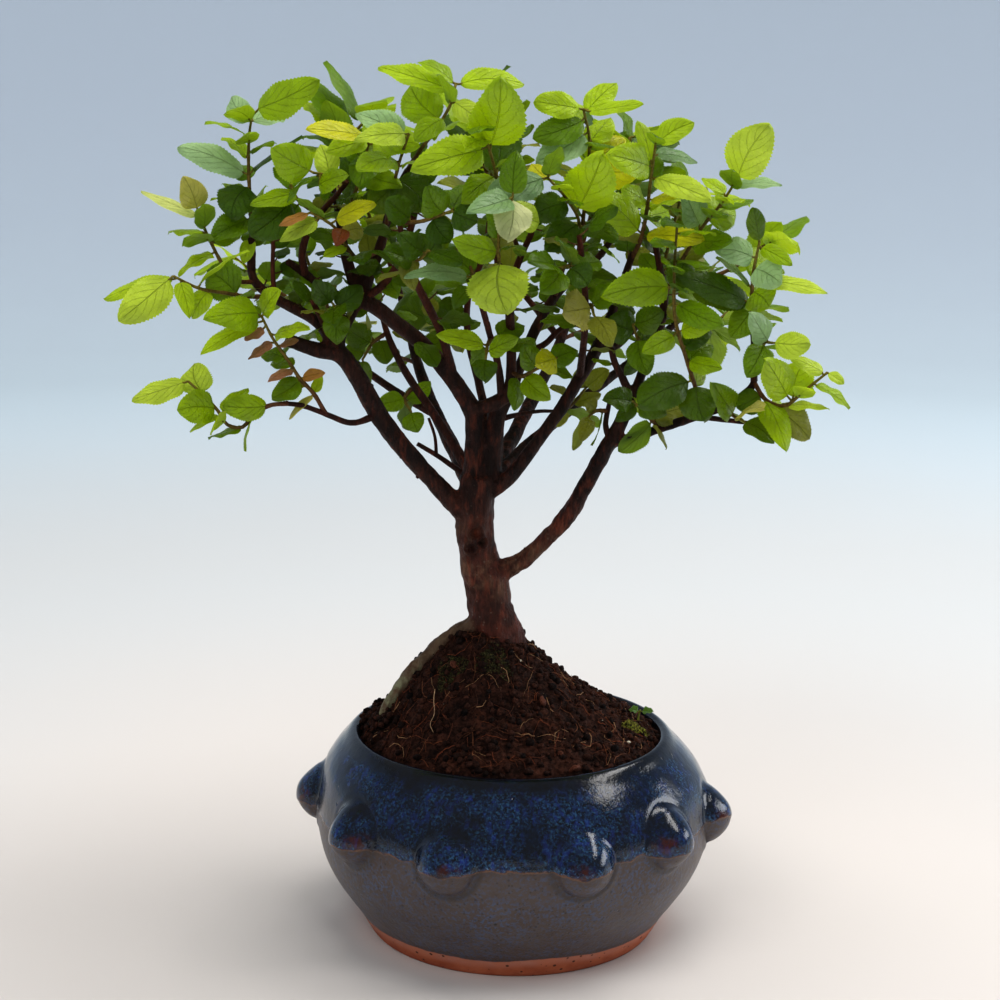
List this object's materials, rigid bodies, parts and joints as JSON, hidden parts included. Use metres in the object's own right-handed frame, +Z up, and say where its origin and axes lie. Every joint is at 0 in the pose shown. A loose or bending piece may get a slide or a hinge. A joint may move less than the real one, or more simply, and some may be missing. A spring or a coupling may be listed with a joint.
{
  "type": "sweet plum bonsai",
  "caption": "Small sweet plum bonsai: forked reddish trunk with leafy shoots on a peat mound in a round studded pot with a blue glaze.",
  "frame": {"origin": "centre of the pot's flat foot, on the surface that the pot stands on", "axes": "+X to the right and +Y away as the tree's front is seen, +Z up the trunk"},
  "size_m": [0.2237, 0.1535, 0.2752],
  "materials": {
    "glaze": "gloss",
    "drain_mesh": "matte",
    "soil": "matte",
    "bark": "satin",
    "leaf_young": "satin",
    "leaf_mature": "satin",
    "moss": "matte"
  },
  "bodies": {
    "root": {"pot": "glaze", "drain_mesh_left": "drain_mesh", "drain_mesh_right": "drain_mesh", "soil_mound": "soil", "tree_wood": "bark", "moss_trunk": "moss", "moss_slope": "moss", "moss_rim": "moss", "seedling": "leaf_young", "shoot_01": "leaf_young", "shoot_02": "leaf_young", "shoot_03": "leaf_young", "shoot_04": "leaf_young", "shoot_05": "leaf_young", "shoot_06": "leaf_young", "shoot_07": "leaf_young", "shoot_08": "leaf_young", "shoot_09": "leaf_young", "shoot_10": "leaf_young", "shoot_11": "leaf_young", "shoot_12": "leaf_young", "shoot_13": "leaf_young", "shoot_14": "leaf_young", "shoot_15": "leaf_young", "shoot_16": "leaf_young", "shoot_17": "leaf_young", "shoot_18": "leaf_young", "shoot_19": "leaf_young", "shoot_20": "leaf_young", "shoot_21": "leaf_young", "shoot_22": "leaf_young", "shoot_23": "leaf_young", "shoot_24": "leaf_young", "shoot_25": "leaf_young", "shoot_26": "leaf_young", "shoot_27": "leaf_young", "shoot_28": "leaf_young", "shoot_29": "leaf_young", "shoot_30": "leaf_young", "shoot_31": "leaf_young", "shoot_32": "leaf_young", "shoot_33": "leaf_young", "shoot_34": "leaf_young", "shoot_35": "leaf_young", "shoot_36": "leaf_young", "shoot_37": "leaf_young", "shoot_38": "leaf_mature", "shoot_39": "leaf_mature", "shoot_40": "leaf_mature", "shoot_41": "leaf_mature", "shoot_42": "leaf_mature", "shoot_43": "leaf_mature", "shoot_44": "leaf_mature", "shoot_45": "leaf_mature", "shoot_46": "leaf_mature", "shoot_47": "leaf_mature", "shoot_48": "leaf_mature", "shoot_49": "leaf_mature", "shoot_50": "leaf_mature", "shoot_51": "leaf_mature"}
  },
  "joints": []
}
